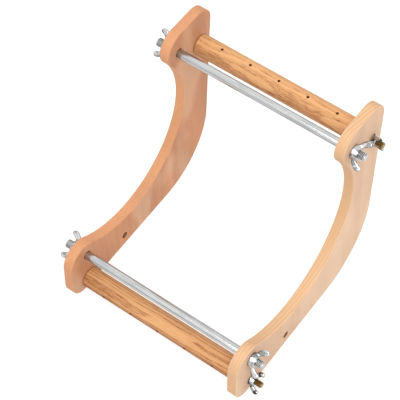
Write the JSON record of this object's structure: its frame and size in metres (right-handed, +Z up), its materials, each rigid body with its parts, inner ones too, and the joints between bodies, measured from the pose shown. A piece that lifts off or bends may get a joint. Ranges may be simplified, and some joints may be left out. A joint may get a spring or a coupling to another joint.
{
  "type": "bead loom",
  "caption": "Tabletop bead loom: bent wooden side plates joined by threaded rods, with wooden thread rollers that turn between them and are held by wing nuts.",
  "frame": {"origin": "on the table, midway between the side plates and midway between the front of the lower arms and the back of the upper arms", "axes": "+X along the rods from the left plate to the right plate, +Y to the back, +Z up from the table; the weaver sits at -Y"},
  "size_m": [0.2162, 0.2222, 0.1977],
  "materials": {
    "beech": "sanded and unpainted",
    "oak": "sanded and unpainted",
    "zinc_rod": "bright zinc plating on a rolled thread",
    "zinc_nut": "bright zinc plating on a casting",
    "yellow_zinc": "yellow zinc plating"
  },
  "bodies": {
    "frame": {"side_plate_left": "beech", "side_plate_right": "beech"},
    "upper_rod": {"upper_rod": "zinc_rod"},
    "lower_rod": {"lower_rod": "zinc_rod"},
    "upper_roller": {"upper_roller": "oak", "upper_roller_stud_left": "yellow_zinc", "upper_roller_stud_right": "yellow_zinc"},
    "lower_roller": {"lower_roller": "oak", "lower_roller_stud_left": "yellow_zinc", "lower_roller_stud_right": "yellow_zinc"},
    "upper_rod_wing_nut_left": {"upper_rod_wing_nut_left": "zinc_nut"},
    "upper_rod_wing_nut_right": {"upper_rod_wing_nut_right": "zinc_nut"},
    "lower_rod_wing_nut_left": {"lower_rod_wing_nut_left": "zinc_nut"},
    "lower_rod_wing_nut_right": {"lower_rod_wing_nut_right": "zinc_nut"},
    "upper_roller_wing_nut_left": {"upper_roller_wing_nut_left": "zinc_nut"},
    "upper_roller_wing_nut_right": {"upper_roller_wing_nut_right": "zinc_nut"},
    "lower_roller_wing_nut_left": {"lower_roller_wing_nut_left": "zinc_nut"},
    "lower_roller_wing_nut_right": {"lower_roller_wing_nut_right": "zinc_nut"}
  },
  "joints": [
    {"name": "upper_roller_turn", "type": "hinge", "parent": "frame", "child": "upper_roller", "pos_m": [0, 0.09297, 0.15876], "axis": [1, 0, 0], "continuous": true},
    {"name": "lower_roller_turn", "type": "hinge", "parent": "frame", "child": "lower_roller", "pos_m": [0, -0.08939, 0.0125], "axis": [1, 0, 0], "continuous": true},
    {"name": "upper_rod_turn", "type": "hinge", "parent": "frame", "child": "upper_rod", "pos_m": [0, 0.06469, 0.17625], "axis": [1, 0, 0], "continuous": true},
    {"name": "lower_rod_turn", "type": "hinge", "parent": "frame", "child": "lower_rod", "pos_m": [0, -0.08639, 0.0455], "axis": [1, 0, 0], "continuous": true},
    {"name": "upper_rod_wing_nut_left_turn", "type": "hinge", "parent": "upper_rod", "child": "upper_rod_wing_nut_left", "pos_m": [-0.1, 0.06469, 0.17625], "axis": [-1, 0, 0], "continuous": true},
    {"name": "upper_rod_wing_nut_right_turn", "type": "hinge", "parent": "upper_rod", "child": "upper_rod_wing_nut_right", "pos_m": [0.1, 0.06469, 0.17625], "axis": [1, 0, 0], "continuous": true},
    {"name": "lower_rod_wing_nut_left_turn", "type": "hinge", "parent": "lower_rod", "child": "lower_rod_wing_nut_left", "pos_m": [-0.1, -0.08639, 0.0455], "axis": [-1, 0, 0], "continuous": true},
    {"name": "lower_rod_wing_nut_right_turn", "type": "hinge", "parent": "lower_rod", "child": "lower_rod_wing_nut_right", "pos_m": [0.1, -0.08639, 0.0455], "axis": [1, 0, 0], "continuous": true},
    {"name": "upper_roller_wing_nut_left_turn", "type": "hinge", "parent": "upper_roller", "child": "upper_roller_wing_nut_left", "pos_m": [-0.1, 0.09297, 0.15876], "axis": [-1, 0, 0], "continuous": true},
    {"name": "upper_roller_wing_nut_right_turn", "type": "hinge", "parent": "upper_roller", "child": "upper_roller_wing_nut_right", "pos_m": [0.1, 0.09297, 0.15876], "axis": [1, 0, 0], "continuous": true},
    {"name": "lower_roller_wing_nut_left_turn", "type": "hinge", "parent": "lower_roller", "child": "lower_roller_wing_nut_left", "pos_m": [-0.1, -0.08939, 0.0125], "axis": [-1, 0, 0], "continuous": true},
    {"name": "lower_roller_wing_nut_right_turn", "type": "hinge", "parent": "lower_roller", "child": "lower_roller_wing_nut_right", "pos_m": [0.1, -0.08939, 0.0125], "axis": [1, 0, 0], "continuous": true}
  ]
}
